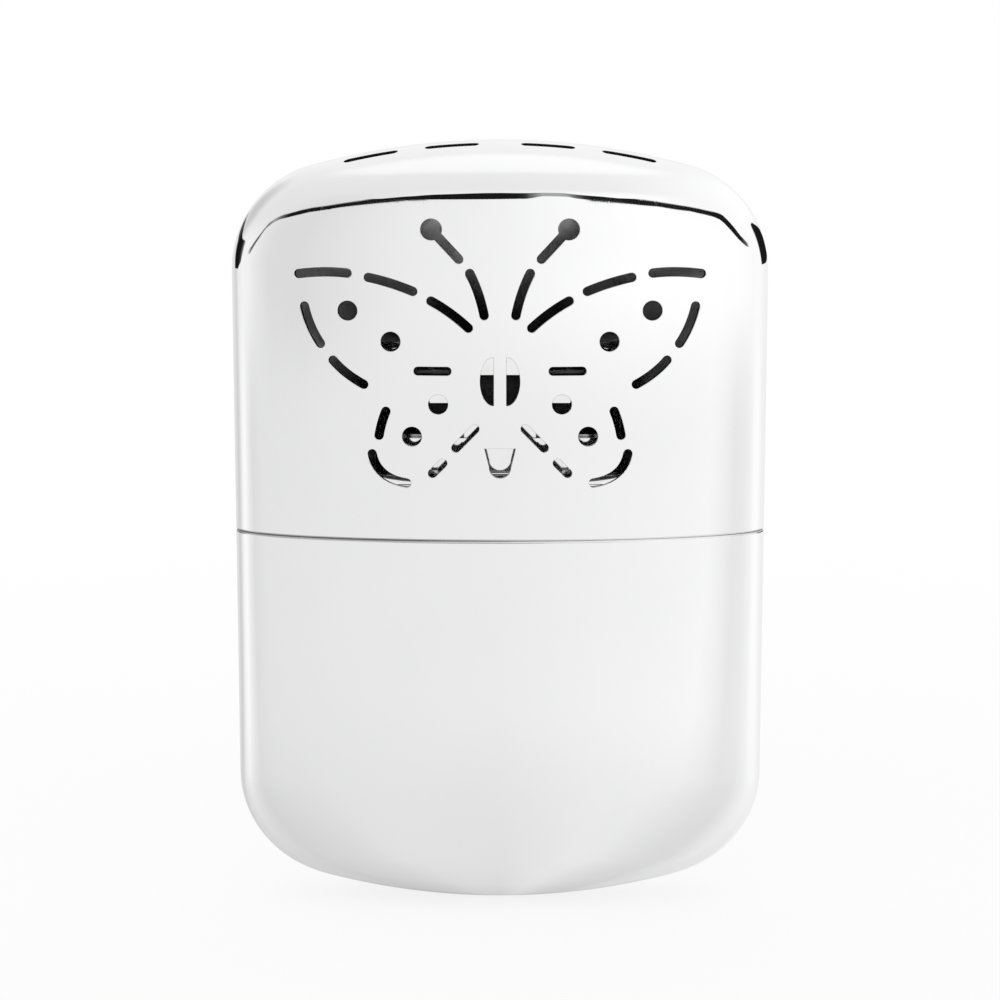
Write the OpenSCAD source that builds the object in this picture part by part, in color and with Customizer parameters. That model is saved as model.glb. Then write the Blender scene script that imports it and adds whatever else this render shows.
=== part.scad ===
// Catalytic hand warmer: a slim oval pocket heater that burns lighter fluid
// vapour without a flame on a platinum fibre mat.
// Millimetres. +Z is up, the front with the butterfly vents faces -Y.
// The warmer stands upright on Z = 0 with its middle on X = 0, Y = 0.

/* [Outside shape] */
// Width of the closed warmer, side to side
body_width = 69; // [62:1:76]
// Depth of the closed warmer, front to back
body_depth = 18; // [17:0.5:22]
// Height of the closed warmer
body_height = 100; // [94:1:110]
// Radius of the shallow arch along the top and the bottom
arch_radius = 92; // [80:1:110]
// Radius of the four corners in the front view
corner_radius = 14; // [10:1:18]
// How far down the rounded top and bottom reach before the walls run straight
dome_height = 6.8; // [5:0.1:8]
// Height of the joint line between tank and lid
parting_height = 49.6; // [47:0.2:52]
// Thickness of the drawn sheet of tank, shoulder and lid
wall = 0.6; // [0.4:0.1:0.8]

/* [Lid seat] */
// How far the shoulder stands up inside the lid
shoulder_rise = 8.4; // [7:0.2:10]
// How far the shoulder reaches down into the tank
shoulder_skirt = 5; // [4:0.5:7]
// Running clearance between the shoulder and the inside of the lid
lid_clearance = 0.1; // [0.05:0.01:0.1]
// Radius of the shoulder's rounded upper edge
shoulder_round = 1.5; // [1:0.1:2]

/* [Vents] */
// Width of the long vent slots
vent_width = 1.15; // [0.8:0.05:1.4]
// Radius of the round vents
vent_dot_radius = 1.25; // [1:0.05:1.4]
// Radius of the two round vents at the tips of the feelers
feeler_dot_radius = 1.35; // [1:0.05:1.5]
// Length of each slot along the top of the lid
top_slot_length = 6.7; // [5:0.1:7.5]
// Width of each slot along the top of the lid
top_slot_width = 1.1; // [0.8:0.05:1.4]
// Distance of each row of top slots from the middle of the depth
top_slot_offset = 2.75; // [2.4:0.05:3]

/* [Neck] */
// Length between the centres of the neck's two round ends
neck_straight = 21; // [18:0.5:23]
// Outside radius of the neck's round ends
neck_radius = 4.5; // [4.2:0.1:4.8]
// Height of the neck above the shoulder plate
neck_rise = 3.75; // [3.6:0.05:4.2]
// Radius of the lip rolled inwards around the mouth of the neck
lip_radius = 0.45; // [0.3:0.05:0.55]
// Width of the flange that clamps the neck under the shoulder plate
flange_width = 1; // [0.6:0.1:1.2]

/* [Burner] */
// Gap between the neck and the burner skirt, taken up by the two springs
spring_room = 0.8; // [0.7:0.05:1]
// Thickness of the burner's sheet
burner_sheet = 0.5; // [0.4:0.05:0.6]
// Height of the burner cover above the burner's rim
cover_height = 12.2; // [11.5:0.1:13]
// Radius of the cover's rounded upper edge
cover_round = 1.6; // [1:0.1:2]
// Height of the catalyst mat
mat_height = 7.3; // [6.8:0.1:7.8]
// Width of each opening along the foot of the cover
opening_width = 4.5; // [3.6:0.1:4.5]
// Height of the openings along the foot of the cover
opening_height = 4.5; // [4:0.1:5]
// Width of the strip left standing between two openings
strip_width = 0.9; // [0.7:0.1:1.2]
// Width of the window in the middle of the cover
window_width = 5.4; // [4:0.1:5.6]
// Height of the window in the middle of the cover
window_height = 4.5; // [3.6:0.1:4.6]
// Length of the slot above the openings on each side of the cover
side_slot_length = 5.3; // [4:0.1:5.6]
// Thickness of the grip springs
spring_sheet = 0.25; // [0.2:0.01:0.3]

/* [Hidden] */
// Clearance kept around the soft fillings
soft_gap = 0.3;
// Points around each oval ring, and rings from the arch to the joint line
around = 56;
levels = 18;
// True round forms
$fn = 64;

half_width = body_width / 2;
half_depth = body_depth / 2;
tank_length = parting_height;
lid_length = body_height - parting_height;

// Heights of the fixed parts inside
plate_top = parting_height + shoulder_rise;
plate_under = plate_top - wall;
collar_inset = wall + lid_clearance;
neck_top = plate_top + neck_rise;

// The burner stands on the shoulder plate with its floor just over the lip
skirt_inner = neck_radius + spring_room;
skirt_outer = skirt_inner + burner_sheet;
floor_under = neck_top + burner_sheet / 2;
floor_top = floor_under + burner_sheet;
rim_radius = skirt_outer + 1.6 * burner_sheet;
tab_outer = skirt_inner + burner_sheet;
tab_inner = tab_outer - burner_sheet;
tab_top = floor_top + 0.8 * opening_height;
tab_start = neck_straight / 2 + 0.75 * skirt_inner;
first_opening = tab_start - 2 * opening_width - strip_width;
cover_inner = tab_outer;
cover_outer = cover_inner + burner_sheet;
cover_top = floor_top + cover_height;
screen_top = floor_top + 0.6 * burner_sheet;
mat_under = screen_top + soft_gap;
mat_top = mat_under + mat_height;
retainer_under = mat_top + soft_gap;
burner_end = neck_straight / 2 + cover_outer;
rivet_height = floor_top + opening_height / 2;
rivet_radius = burner_sheet;

// One step of the vent pattern, which is drawn 50.4 steps high and 69 steps wide
vent_step = min(lid_length / 50.4, body_width / 69);

// Colours of the real surfaces
plate_colour = [0.87, 0.88, 0.9];
dull_colour = [0.62, 0.63, 0.65];
cotton_colour = [0.95, 0.94, 0.9];
mat_colour = [0.3, 0.3, 0.31];

// ---- The oval form: half sizes at a distance s from the end of the arch, ----
// ---- drawn smaller by an inset on every side ----

// Half width: a shallow arch, then a corner arc tangent to it, then straight
function corner_x() = half_width - corner_radius;
function corner_q() = sqrt(pow(arch_radius - corner_radius, 2) - pow(corner_x(), 2));
function tangent_q() = arch_radius * corner_q() / (arch_radius - corner_radius);
function inset_width(s, inset) = max(width_inner(arch_radius - s, inset), 0.01);
function width_inner(q, inset) =
    q > tangent_q() * inner_share(inset)
        ? sqrt(max(pow(arch_radius - inset, 2) - q * q, 0))
        : q > corner_q()
            ? corner_x() + sqrt(pow(corner_radius - inset, 2) - pow(q - corner_q(), 2))
            : half_width - inset;
function inner_share(inset) = (arch_radius - inset) / arch_radius;

// Half depth: a quarter oval, then straight
function inset_depth(s, inset) =
    s < dome_height
        ? (half_depth - inset) * sqrt(max(1 - pow((dome_height - s) / (dome_height - inset), 2), 0))
        : half_depth - inset;

// One oval ring of points
function ring(z, a, b) = [
    for (i = [0 : around - 1]) [a * cos(360 * i / around), b * sin(360 * i / around), z]
];

// Closed solid through a list of rings, each given as [height, half width, half depth]
module ring_stack(rings) {
    count = len(rings);
    points = [for (r = rings) each ring(r[0], r[1], r[2])];
    sides = [
        for (k = [0 : count - 2], i = [0 : around - 1])
            let (j = (i + 1) % around, low = k * around, high = low + around)
                each [[low + i, high + i, low + j], [low + j, high + i, high + j]]
    ];
    bottom = [[for (i = [0 : around - 1]) i]];
    top = [[for (i = [around - 1 : -1 : 0]) (count - 1) * around + i]];
    polyhedron(points = points, faces = concat(bottom, sides, top), convexity = 4);
}

// Half of the warmer's form from its arch at Z = 0 up to the given length.
// The rings lie close together near the arch, where the form turns fastest.
module half_form(inset, length) {
    reach = length - inset;
    ring_stack([
        for (k = [0 : levels])
            let (s = inset + reach * pow(max(k, 0.2) / levels, 2))
                [s, inset_width(s, inset), inset_depth(s, inset)]
    ]);
}

// Straight oval slice that follows the walls, from z0 to z1
module oval_slice(inset, z0, z1) {
    ring_stack([[z0, half_width - inset, half_depth - inset], [z1, half_width - inset, half_depth - inset]]);
}

// ---- Long forms with two round ends, for the neck and the burner ----

// Flat outline with round ends
module slot_outline(straight, radius) {
    square([straight, 2 * radius], center = true);
    translate([straight / 2, 0]) circle(radius);
    translate([-straight / 2, 0]) circle(radius);
}

// Upright block with round ends
module slot_block(straight, radius, z0, z1) {
    translate([0, 0, z0]) linear_extrude(z1 - z0) slot_outline(straight, radius);
}

// Upright tube with round ends
module slot_tube(straight, outer, inner, z0, z1) {
    difference() {
        slot_block(straight, outer, z0, z1);
        slot_block(straight, inner, z0 - 1, z1 + 1);
    }
}

// A profile drawn at X > 0 led around both round ends and both straight sides
module lead_around(straight) {
    translate([straight / 2, 0, 0]) rotate([0, 0, -90]) rotate_extrude(angle = 180) children();
    translate([-straight / 2, 0, 0]) rotate([0, 0, 90]) rotate_extrude(angle = 180) children();
    translate([-straight / 2, 0, 0]) rotate([90, 0, 90]) linear_extrude(straight) children();
    translate([straight / 2, 0, 0]) rotate([90, 0, -90]) linear_extrude(straight) children();
}

// ---- Cutters for the vents, drawn on the front view ----

// Slot with round ends between two points
module vent_slot(from, to, width) {
    run = to - from;
    translate(from) circle(d = width);
    translate(to) circle(d = width);
    translate(from) rotate(atan2(run[1], run[0])) translate([0, -width / 2]) square([norm(run), width]);
}

// Slot bent once at a middle point
module bent_slot(from, middle, to) {
    vent_slot(from, middle, vent_width);
    vent_slot(middle, to, vent_width);
}

// A place in the vent pattern: steps to the side of the middle, steps up from the joint line
function spot(aside, up) = [aside * vent_step, parting_height + up * vent_step];

// The right wing, feeler and half body of the butterfly
module half_butterfly() {
    // Feeler with its round tip, and the inner feeler below it
    translate(spot(8.65, 39.7)) circle(feeler_dot_radius);
    vent_slot(spot(8.65, 39.7), spot(5.2, 36), vent_width);
    bent_slot(spot(3.8, 34.2), spot(2.75, 31.7), spot(2, 28.9));
    // Upper wing: its edge, then the spots inside it
    bent_slot(spot(25.5, 33.9), spot(22.3, 34.2), spot(19.3, 34.1));
    bent_slot(spot(16.6, 33.6), spot(13.8, 32.9), spot(11, 31.9));
    bent_slot(spot(8.7, 30.7), spot(6.3, 29.2), spot(4, 27.3));
    bent_slot(spot(24.8, 29.8), spot(24, 27.3), spot(22.8, 25.1));
    bent_slot(spot(21.2, 23), spot(19.5, 21.4), spot(17.3, 20));
    vent_slot(spot(10.4, 21.8), spot(6.7, 21.8), vent_width * 0.95);
    translate(spot(19.3, 29.35)) circle(vent_dot_radius);
    translate(spot(13.85, 25.5)) circle(vent_dot_radius);
    // Lower wing
    bent_slot(spot(14.5, 16.6), spot(15, 15.2), spot(15.4, 13.5));
    bent_slot(spot(16.3, 11.1), spot(14.9, 8.6), spot(11.9, 7.4));
    vent_slot(spot(3.2, 14.45), spot(5.6, 12), vent_width);
    vent_slot(spot(7.3, 10), spot(8.6, 8.7), vent_width);
    translate(spot(7.85, 17.55)) circle(vent_dot_radius);
    translate(spot(11.2, 13.4)) circle(vent_dot_radius);
    // Body, split down the middle
    intersection() {
        translate(spot(0.8, 20.5)) scale([0.56, 1]) circle(3.1 * vent_step);
        translate(spot(0.8, 10)) square([4, 20] * vent_step);
    }
}

// The tail between the two lower wings
module tail() {
    polygon([spot(-2, 11.9), spot(2, 11.9), spot(1.4, 9.5), spot(-1.4, 9.5)]);
    translate(spot(0, 9.5)) circle(1.4 * vent_step);
}

// The whole pattern pushed through the front wall only
module butterfly_cutter() {
    translate([0, -half_depth / 2, 0]) rotate([90, 0, 0]) linear_extrude(half_depth) {
        half_butterfly();
        mirror([1, 0]) half_butterfly();
        tail();
    }
}

// Two rows of four slots along the top
module top_slot_cutter() {
    for (x = [-16.4, -6.1, 6.1, 16.4], y = [-top_slot_offset, top_slot_offset])
        translate([x * vent_step, y, body_height - dome_height])
            linear_extrude(2 * dome_height)
                slot_outline(top_slot_length - top_slot_width, top_slot_width / 2);
}

// ---- Tank ----

// Deep drawn lower shell that holds the wadding and the fuel
module tank_shell() {
    color(plate_colour)
    difference() {
        half_form(0, tank_length);
        half_form(wall, tank_length);
        oval_slice(wall, tank_length - 2, tank_length + 1);
    }
}

// Half sizes of the shoulder's rounded upper edge at an angle from level to upright
function edge_ring(inset, radius, top, angle) = [
    top - radius + radius * sin(angle),
    half_width - inset - radius + radius * cos(angle),
    half_depth - inset - radius + radius * cos(angle)
];

// Solid form of the shoulder, used for its outside and its hollow
module shoulder_form(low_inset, high_inset, bottom, top, radius) {
    oval_slice(low_inset, bottom, parting_height);
    ring_stack(concat(
        [[min(bottom, parting_height) + 0.01, half_width - high_inset, half_depth - high_inset]],
        [for (angle = [0 : 22.5 : 90]) edge_ring(high_inset, radius, top, angle)]
    ));
}

// Shoulder soldered into the tank: the lid slides on its upright wall
module shoulder_cap() {
    color(plate_colour)
    difference() {
        shoulder_form(wall, collar_inset, parting_height - shoulder_skirt, plate_top, shoulder_round);
        ring_stack(concat(
            [[parting_height - shoulder_skirt - 1, half_width - 2 * wall - lid_clearance,
                half_depth - 2 * wall - lid_clearance]],
            [for (angle = [0 : 22.5 : 90])
                edge_ring(collar_inset + wall, shoulder_round - wall, plate_under, angle)]
        ));
        slot_block(neck_straight, neck_radius, plate_under - 1, plate_top + 1);
    }
}

// Oval neck with a flange under the shoulder plate and a lip rolled inwards
module neck_ring() {
    color(plate_colour)
    union() {
        slot_tube(neck_straight, neck_radius, neck_radius - wall, plate_under - wall, neck_top - lip_radius);
        slot_tube(
            neck_straight,
            neck_radius + flange_width,
            neck_radius - wall,
            plate_under - wall,
            plate_under
        );
        lead_around(neck_straight)
            translate([neck_radius - lip_radius, neck_top - lip_radius]) circle(lip_radius);
    }
}

// Wadding that soaks up the fuel, one pack on each side of the tank
module cotton_half(side) {
    top = parting_height - shoulder_skirt - soft_gap;
    intersection() {
        half_form(wall + soft_gap, top);
        translate([side * (half_width + soft_gap / 2), 0, top / 2])
            cube([body_width, body_depth, body_height], center = true);
    }
}

module cotton_left() {
    color(cotton_colour) cotton_half(-1);
}

module cotton_right() {
    color(cotton_colour) cotton_half(1);
}

// Plug of wadding that leads the vapour up into the neck
module cotton_mouth() {
    color(cotton_colour)
        slot_block(
            neck_straight,
            neck_radius - max(wall, 2 * lip_radius) - soft_gap,
            parting_height - shoulder_skirt,
            neck_top - 2 * lip_radius - soft_gap
        );
}

// ---- Burner ----

// Skirt that drops over the neck, with a floor, a rim and a tab at each end for the cover
module burner_base() {
    color(plate_colour)
    difference() {
        union() {
            slot_tube(neck_straight, skirt_outer, skirt_inner, plate_top, floor_top);
            slot_tube(neck_straight, rim_radius, neck_radius - lip_radius * 2, floor_under, floor_top);
            end_tab();
            mirror([1, 0, 0]) end_tab();
        }
        // Slits that let the skirt give way on both long sides
        for (side = [-0.4, 0.4])
            translate([side * neck_straight, 0, plate_top])
                cube([spring_room, 4 * skirt_outer, 1.6 * neck_rise], center = true);
        rivet_holes();
    }
}

// Holes through cover and tabs for the two rivets
module rivet_holes() {
    translate([0, 0, rivet_height])
        rotate([0, 90, 0]) cylinder(r = rivet_radius, h = 4 * burner_end, center = true);
}

// Curved tab that stands up from the floor inside one round end of the cover
module end_tab() {
    intersection() {
        slot_tube(neck_straight, tab_outer, tab_inner, floor_under, tab_top);
        translate([tab_start, -cover_outer, floor_under - 1])
            cube([2 * cover_outer, 2 * cover_outer, tab_top]);
    }
}

// Bowed strip spring between the skirt and the neck
module grip_spring(side) {
    touch = neck_radius + 0.03;
    bow = 13 / 3 * neck_radius;
    low = plate_top + neck_rise / 8;
    tall = neck_rise * 2 / 3;
    half_angle = acos((bow - spring_room + 0.03) / (bow - spring_sheet));
    centre = touch + bow;
    translate([0, side * centre, low])
        rotate([0, 0, -90 * side - half_angle])
            rotate_extrude(angle = 2 * half_angle)
                translate([bow - spring_sheet, 0]) square([spring_sheet, tall]);
    for (end = [-1, 1])
        translate([
            end * (bow - spring_sheet) * sin(half_angle),
            side * (skirt_inner - spring_sheet / 2),
            low + tall / 2
        ])
            cube([2 * spring_room, spring_sheet, tall], center = true);
}

module grip_spring_front() {
    color(dull_colour) grip_spring(-1);
}

module grip_spring_rear() {
    color(dull_colour) grip_spring(1);
}

// Perforated plate under the mat, lying on the burner's floor
module burner_screen() {
    color(dull_colour)
    difference() {
        slot_block(neck_straight, tab_inner, floor_top, screen_top);
        for (i = [-4 : 4], j = [-1 : 1])
            translate([i * neck_straight / 8, j * 0.4 * tab_inner, floor_top - 1])
                cylinder(r = neck_straight / 28, h = 3);
    }
}

// Fibre mat that carries the catalyst
module catalyst_mat() {
    color(mat_colour)
        slot_block(neck_straight, tab_inner - soft_gap, mat_under, mat_top);
}

// Barred frame inside the cover that holds the mat down
module mat_retainer() {
    color(dull_colour)
    difference() {
        slot_block(neck_straight, cover_inner, retainer_under, retainer_under + 0.8 * burner_sheet);
        for (i = [-3 : 3])
            translate([i * neck_straight / 6, 0, retainer_under - 1])
                linear_extrude(3) slot_row();
    }
}

// One pair of openings between the bars of the frame
module slot_row() {
    for (side = [-1, 1])
        translate([0, side * 0.4 * cover_inner])
            square([neck_straight / 6 - strip_width, 2 / 3 * cover_inner], center = true);
}

// Cover with openings along its foot, windows above them and holes along the top
module burner_cover() {
    color(plate_colour)
    difference() {
        cover_form(cover_outer, floor_top, cover_top, cover_round);
        cover_form(cover_inner, floor_top - 1, cover_top - burner_sheet, cover_round - burner_sheet);
        cover_window(-window_width / 2, window_width, floor_top + 0.8 * opening_height, window_height);
        side_openings();
        mirror([1, 0, 0]) side_openings();
        for (i = [-2 : 2])
            translate([i * neck_straight / 4, 0, cover_top - 1])
                cylinder(r = neck_straight / 14, h = 2);
        rivet_holes();
    }
}

// Level window through both long sides of the cover, from x to the right
module cover_window(x, width, bottom, height) {
    translate([x, -2 * cover_outer, bottom])
        cube([width, 4 * cover_outer, height]);
}

// Two openings down to the rim on the right of the cover, and a slot above them
module side_openings() {
    for (i = [0, 1])
        cover_window(
            first_opening + i * (opening_width + strip_width),
            opening_width,
            floor_top - 1,
            opening_height + 1
        );
    cover_window(
        first_opening + side_slot_length / 4,
        side_slot_length,
        floor_top + 1.5 * opening_height,
        0.6 * opening_height
    );
}

// Long block with a rounded upper edge
module cover_form(radius, bottom, top, edge) {
    slot_block(neck_straight, radius, bottom, top - edge);
    slot_block(neck_straight, radius - edge, bottom, top);
    lead_around(neck_straight)
        translate([radius - edge, top - edge]) intersection() {
            circle(edge);
            square(edge);
        }
}

// Small rivet with a domed head that joins cover and base
module cover_rivet(side) {
    color(dull_colour)
    translate([side * burner_end, 0, rivet_height])
        rotate([0, side * 90, 0]) {
            translate([0, 0, -2.4 * burner_sheet]) cylinder(r = rivet_radius, h = 2.4 * burner_sheet);
            intersection() {
                translate([0, 0, -1.2 * rivet_radius]) sphere(2.2 * rivet_radius);
                cylinder(r = 4 * rivet_radius, h = 2 * rivet_radius);
            }
        }
}

module cover_rivet_left() {
    cover_rivet(-1);
}

module cover_rivet_right() {
    cover_rivet(1);
}

// ---- Lid ----

// Deep drawn upper shell with the vents
module lid_shell() {
    color(plate_colour)
    difference() {
        translate([0, 0, body_height]) mirror([0, 0, 1]) difference() {
            half_form(0, lid_length);
            half_form(wall, lid_length);
            oval_slice(wall, lid_length - 2, lid_length + 1);
        }
        butterfly_cutter();
        top_slot_cutter();
    }
}

tank_shell();
shoulder_cap();
neck_ring();
cotton_left();
cotton_right();
cotton_mouth();
burner_base();
grip_spring_front();
grip_spring_rear();
burner_screen();
catalyst_mat();
mat_retainer();
burner_cover();
cover_rivet_left();
cover_rivet_right();
lid_shell();
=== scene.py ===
# %% [markdown]
# # Catalytic hand warmer
# The warmer is two deep drawn shells of thin plated sheet that meet at a joint line. The lower one is
# the fuel tank, the upper one the lid. Under the lid a small burner sits on an oval neck. The CAD parts
# are loaded first, because every size and place below follows them.

# %% Load the frame
import math

import bmesh
import bpy
import numpy as np
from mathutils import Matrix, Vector
from mathutils.geometry import delaunay_2d_cdt


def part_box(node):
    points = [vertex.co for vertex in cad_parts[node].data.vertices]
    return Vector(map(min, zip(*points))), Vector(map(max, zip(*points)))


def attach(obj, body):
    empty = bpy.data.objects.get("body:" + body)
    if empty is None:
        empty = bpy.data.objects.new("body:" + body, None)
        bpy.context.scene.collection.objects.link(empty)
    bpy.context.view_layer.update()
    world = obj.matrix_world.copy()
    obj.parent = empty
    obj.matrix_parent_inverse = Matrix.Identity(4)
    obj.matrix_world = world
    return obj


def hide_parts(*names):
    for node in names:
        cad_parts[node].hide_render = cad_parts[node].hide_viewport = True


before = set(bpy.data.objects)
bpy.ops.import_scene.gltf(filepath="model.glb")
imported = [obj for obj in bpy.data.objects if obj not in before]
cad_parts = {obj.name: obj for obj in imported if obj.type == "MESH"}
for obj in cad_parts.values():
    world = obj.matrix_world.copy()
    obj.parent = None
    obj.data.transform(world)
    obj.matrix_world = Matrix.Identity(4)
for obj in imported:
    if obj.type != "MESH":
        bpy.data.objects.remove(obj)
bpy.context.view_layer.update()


def new_object(name, data):
    """Object in the scene for a mesh or a camera."""
    made = bpy.data.objects.new(name, data)
    bpy.context.scene.collection.objects.link(made)
    return made


def stand_in(piece, node, body):
    """The piece takes the place of a CAD node and moves with the body."""
    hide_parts(node)
    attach(piece, body)


# %% [markdown]
# ## The oval form
# Polished plate shows every facet of a coarse mesh, so both shells are made again as fine surfaces from
# the formula that the CAD model uses. At a distance s from the end of the arch the section is an oval.
# Its half width follows a shallow arch, then a corner arc, then a straight wall. Its half depth follows
# a quarter oval, then a straight wall. All sizes are in millimetres.

# %% Sizes and the oval form
MM = 0.001
WIDTH, DEPTH, HEIGHT = 69.0, 18.0, 100.0
ARCH, CORNER, DOME = 92.0, 14.0, 6.8
JOINT, SHEET, EASE, JOINT_GAP = 49.52, 0.6, 0.36, 0.012


def half_sizes(s, inset=0.0):
    """Half width and half depth of the oval section at a distance s from the arch, moved in by an inset.

    With q = ARCH - s the half width is sqrt(ARCH^2 - q^2) on the arch, the corner's middle plus
    sqrt(CORNER^2 - (q - middle)^2) on the corner, and half of WIDTH below it. The half depth is
    half of DEPTH times sqrt(1 - (1 - s / DOME)^2) on the dome, and half of DEPTH below it.
    """
    q = ARCH - s
    mid_x = WIDTH / 2 - CORNER
    mid_q = math.sqrt((ARCH - CORNER) ** 2 - mid_x**2)
    tangent = (ARCH - inset) * mid_q / (ARCH - CORNER)
    arch = np.sqrt(np.maximum((ARCH - inset) ** 2 - q * q, 0))
    corner = mid_x + np.sqrt(np.maximum((CORNER - inset) ** 2 - (q - mid_q) ** 2, 0))
    a = np.where(q > tangent, arch, np.where(q > mid_q, corner, WIDTH / 2 - inset))
    rise = np.clip((DOME - s) / (DOME - inset), 0, 1)
    b = (DEPTH / 2 - inset) * np.sqrt(1 - rise**2)
    return a, b


def form_points(t, w):
    """Points of the form: x = a sin t, y = -b cos t, height s = w squared, so that rows crowd at the arch."""
    a, b = half_sizes(w * w)
    return np.stack([a * np.sin(t), -b * np.cos(t), w * w], -1)


def form_normals(t, w):
    """Outward unit normals: the cross product of the two small steps along t and along w."""
    w = np.maximum(w, 0.03)
    e = 1e-3
    along_t = form_points(t + e, w) - form_points(t - e, w)
    along_w = form_points(t, w + e) - form_points(t, w - e)
    n = np.cross(along_t, along_w)
    n /= np.linalg.norm(n, axis=-1, keepdims=True)
    return n


for below in (2.0, 10.0, 30.0):
    print("half sizes", below, "mm below the arch", np.round(half_sizes(np.array(below)), 2))

# %% [markdown]
# ## Collecting a sheet
# A drawn sheet has an outside, an inside, and narrow rounded edges between them. Each of these knows its
# own exact normals. The helper below collects points and triangles, keeps a normal for each corner,
# turns every triangle outwards, and builds one closed mesh.


# %% Sheet collector
class Sheet:
    """Points and triangles with a normal on each corner, and one of three finishes on each triangle."""

    OUTSIDE, INSIDE, CUT = 0, 1, 2

    def __init__(self):
        self.points, self.tris, self.normals, self.finish, self.count = [], [], [], [], 0

    def add_points(self, points):
        """Stores points and returns their numbers in the same shape."""
        points = np.asarray(points, float)
        numbers = self.count + np.arange(points[..., 0].size)
        self.points.append(points.reshape(-1, 3))
        self.count += numbers.size
        return numbers.reshape(points.shape[:-1])

    def add_tris(self, tris, corner_normals, finish=OUTSIDE):
        """Stores triangles, each turned so that it faces the same way as its corner normals."""
        tris, corner_normals = np.asarray(tris), np.asarray(corner_normals, float)
        keep = (tris[:, 0] != tris[:, 1]) & (tris[:, 1] != tris[:, 2]) & (tris[:, 2] != tris[:, 0])
        tris, corner_normals = tris[keep].copy(), corner_normals[keep].copy()
        p = np.concatenate(self.points)
        flat = np.cross(p[tris[:, 1]] - p[tris[:, 0]], p[tris[:, 2]] - p[tris[:, 0]])
        back = np.einsum("ij,ij->i", flat, corner_normals.sum(1)) < 0
        tris[back] = tris[back][:, ::-1]
        corner_normals[back] = corner_normals[back][:, ::-1]
        self.tris.append(tris)
        self.normals.append(corner_normals)
        self.finish.append(np.full(len(tris), finish, np.int32))

    def add_strip(self, low, high, low_normals, high_normals, finish=OUTSIDE):
        """Stores the band of triangles between two closed rings of point numbers."""
        low2, high2 = np.roll(low, -1), np.roll(high, -1)
        ln2, hn2 = np.roll(low_normals, -1, 0), np.roll(high_normals, -1, 0)
        self.add_tris(
            np.concatenate([np.stack([low, low2, high2], 1), np.stack([low, high2, high], 1)]),
            np.concatenate(
                [np.stack([low_normals, ln2, hn2], 1), np.stack([low_normals, hn2, high_normals], 1)]
            ),
            finish,
        )

    def build(self, name, turn_over=False):
        """Makes the mesh object. turn_over stands the form on its head, for the lid."""
        p, t, n = np.concatenate(self.points), np.concatenate(self.tris), np.concatenate(self.normals)
        if turn_over:
            p = p * [1, 1, -1] + [0, 0, HEIGHT]
            n = n[:, ::-1] * [1, 1, -1]
            t = t[:, ::-1]
        mesh = bpy.data.meshes.new(name)
        mesh.vertices.add(len(p))
        mesh.vertices.foreach_set("co", (p * MM).ravel())
        mesh.loops.add(3 * len(t))
        mesh.loops.foreach_set("vertex_index", t.ravel().astype(np.int32))
        mesh.polygons.add(len(t))
        mesh.polygons.foreach_set("loop_start", np.arange(0, 3 * len(t), 3, dtype=np.int32))
        mesh.polygons.foreach_set("use_smooth", np.ones(len(t), bool))
        mesh.polygons.foreach_set("material_index", np.concatenate(self.finish))
        mesh.update()
        mesh.validate()
        mesh.normals_split_custom_set(n.reshape(-1, 3))
        print(name, len(t), "triangles")
        return new_object(name, mesh)


# %% [markdown]
# ## Outlines of the vents
# Each vent is punched through the sheet, and the punch leaves a tiny rounded edge that catches the light.
# A long vent is a centre line through three points with a half circle at each end. The outlines are
# closed rings of points on the front view, and a second set lies on the view from above.


# %% Vent outlines
def half_circle(middle, first, radius):
    """Eleven points round a slot's end, anticlockwise from just past the first angle."""
    turn = first + np.linspace(0, math.pi, 13)[1:-1]
    return middle + radius * np.stack([np.cos(turn), np.sin(turn)], 1)


def slot_outline(points, width):
    """Closed outline of a slot: a smooth line through the points, moved out by half the width on both
    sides, with a half circle round each end. The line is the parabola through its three points."""
    points = np.array(points, float)
    if len(points) == 2:
        points = np.array([points[0], points.mean(0), points[1]])
    k = np.linspace(0, 1, 11)[:, None]
    bend = 2 * points[1] - (points[0] + points[2]) / 2
    line = (1 - k) ** 2 * points[0] + 2 * k * (1 - k) * bend + k**2 * points[2]
    along = 2 * (1 - k) * (bend - points[0]) + 2 * k * (points[2] - bend)
    angle = np.arctan2(along[:, 1], along[:, 0])
    side = np.stack([-np.sin(angle), np.cos(angle)], 1) * width / 2
    end = half_circle(line[-1], angle[-1] - math.pi / 2, width / 2)
    start = half_circle(line[0], angle[0] + math.pi / 2, width / 2)
    return np.concatenate([line - side, end, (line + side)[::-1], start])


def round_outline(x, z, radius):
    """Closed circle of points."""
    turn = np.linspace(0, 2 * math.pi, 36, endpoint=False)
    return np.stack([x + radius * np.cos(turn), z + radius * np.sin(turn)], 1)


def tip_outline(tip, radius, foot, width):
    """Round feeler tip that runs out into a slot: the far part of a circle, then a slot's end."""
    tip, foot = np.array(tip), np.array(foot)
    run = foot - tip
    angle = math.atan2(run[1], run[0])
    half = math.asin(width / 2 / radius)
    turn = angle + np.linspace(half, 2 * math.pi - half, 30)
    circle = tip + radius * np.stack([np.cos(turn), np.sin(turn)], 1)
    side = width / 2 * np.array([-math.sin(angle), math.cos(angle)])
    reach = np.linspace(0.3, 1, 8)[:, None]
    low = tip + run * reach - side
    high = tip + run * reach + side
    end = half_circle(foot, angle - math.pi / 2, width / 2)
    return np.concatenate([circle, low, end, high[::-1]])


def body_outline(inner, middle, wide, tall):
    """Half oval with a straight inner edge: one side of the body."""
    turn = np.linspace(-math.pi / 2, math.pi / 2, 27)
    curve = np.stack([inner + wide * np.cos(turn), middle + tall * np.sin(turn)], 1)
    edge = np.linspace(middle + tall, middle - tall, 14)[1:-1]
    return np.concatenate([curve, np.stack([np.full_like(edge, inner), edge], 1)])


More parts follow.
